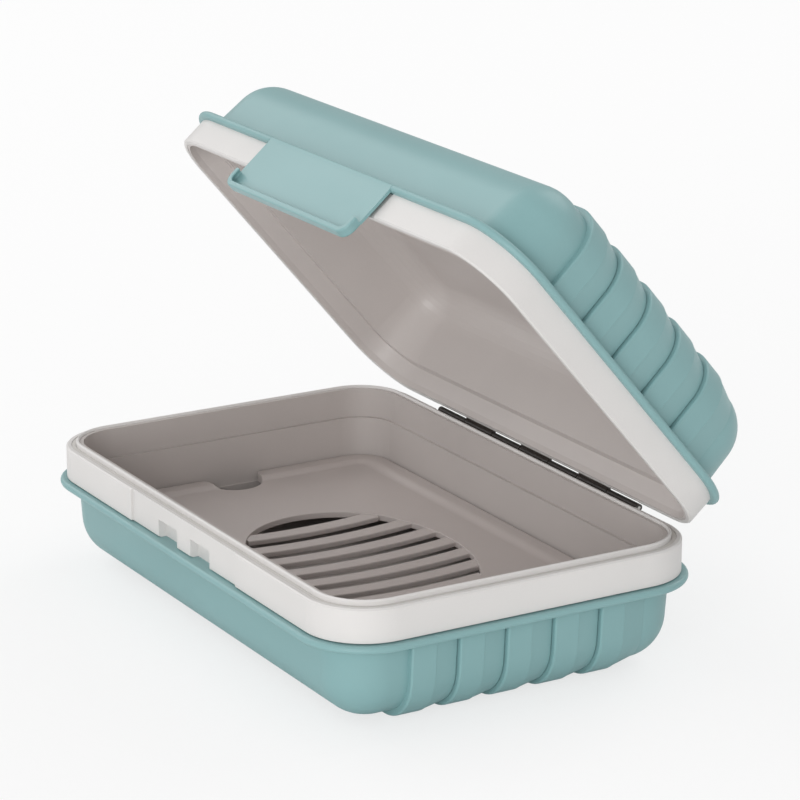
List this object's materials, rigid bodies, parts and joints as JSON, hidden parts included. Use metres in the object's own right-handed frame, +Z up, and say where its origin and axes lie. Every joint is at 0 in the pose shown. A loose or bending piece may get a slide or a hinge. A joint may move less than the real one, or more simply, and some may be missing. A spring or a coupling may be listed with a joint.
{
  "type": "travel soap box",
  "caption": "Hinged travel soap box with ribbed shells, an inner tub, a lift-out louvred drain tray and a front latch.",
  "frame": {"origin": "centre of the base footprint, on the plane that the rib crests rest on", "axes": "+Z up, +Y towards the hinge, latch at -Y, +X along the latch edge"},
  "size_m": [0.1176, 0.0884, 0.0902],
  "materials": {
    "shell_plastic": "satin moulded plastic, teal",
    "rim_plastic": "satin moulded plastic, off-white",
    "seal_rubber": "soft silicone, off-white",
    "liner_plastic": "satin moulded plastic, warm grey",
    "tray_plastic": "satin moulded plastic, warm grey",
    "latch_plastic": "satin moulded plastic, teal",
    "pin_steel": "drawn steel wire",
    "hinge_dark": "dark brown coated metal"
  },
  "bodies": {
    "base": {"base_shell": "shell_plastic", "base_rim": "rim_plastic", "rim_seal": "seal_rubber", "base_tub": "liner_plastic", "hinge_base_leaf": "hinge_dark", "hinge_pin": "pin_steel"},
    "tray": {"drain_tray": "tray_plastic"},
    "lid": {"lid_shell": "shell_plastic", "lid_rim": "rim_plastic", "lid_liner": "liner_plastic", "hinge_lid_leaf": "hinge_dark", "latch_pin": "pin_steel"},
    "latch": {"latch": "latch_plastic"}
  },
  "joints": [
    {"name": "lid_hinge", "type": "hinge", "parent": "base", "child": "lid", "pos_m": [0, 0.0383, 0.0236], "axis": [-1, 0, 0], "range_deg": [-49.5, 115.5]},
    {"name": "latch_hinge", "type": "hinge", "parent": "lid", "child": "latch", "pos_m": [0, -0.00609, 0.08589], "axis": [-1, 0, 0], "range_deg": [0, 60]},
    {"name": "tray_lift", "type": "slide", "parent": "base", "child": "tray", "axis": [0, 0, 1], "range_m": [0, 0.0167]}
  ]
}
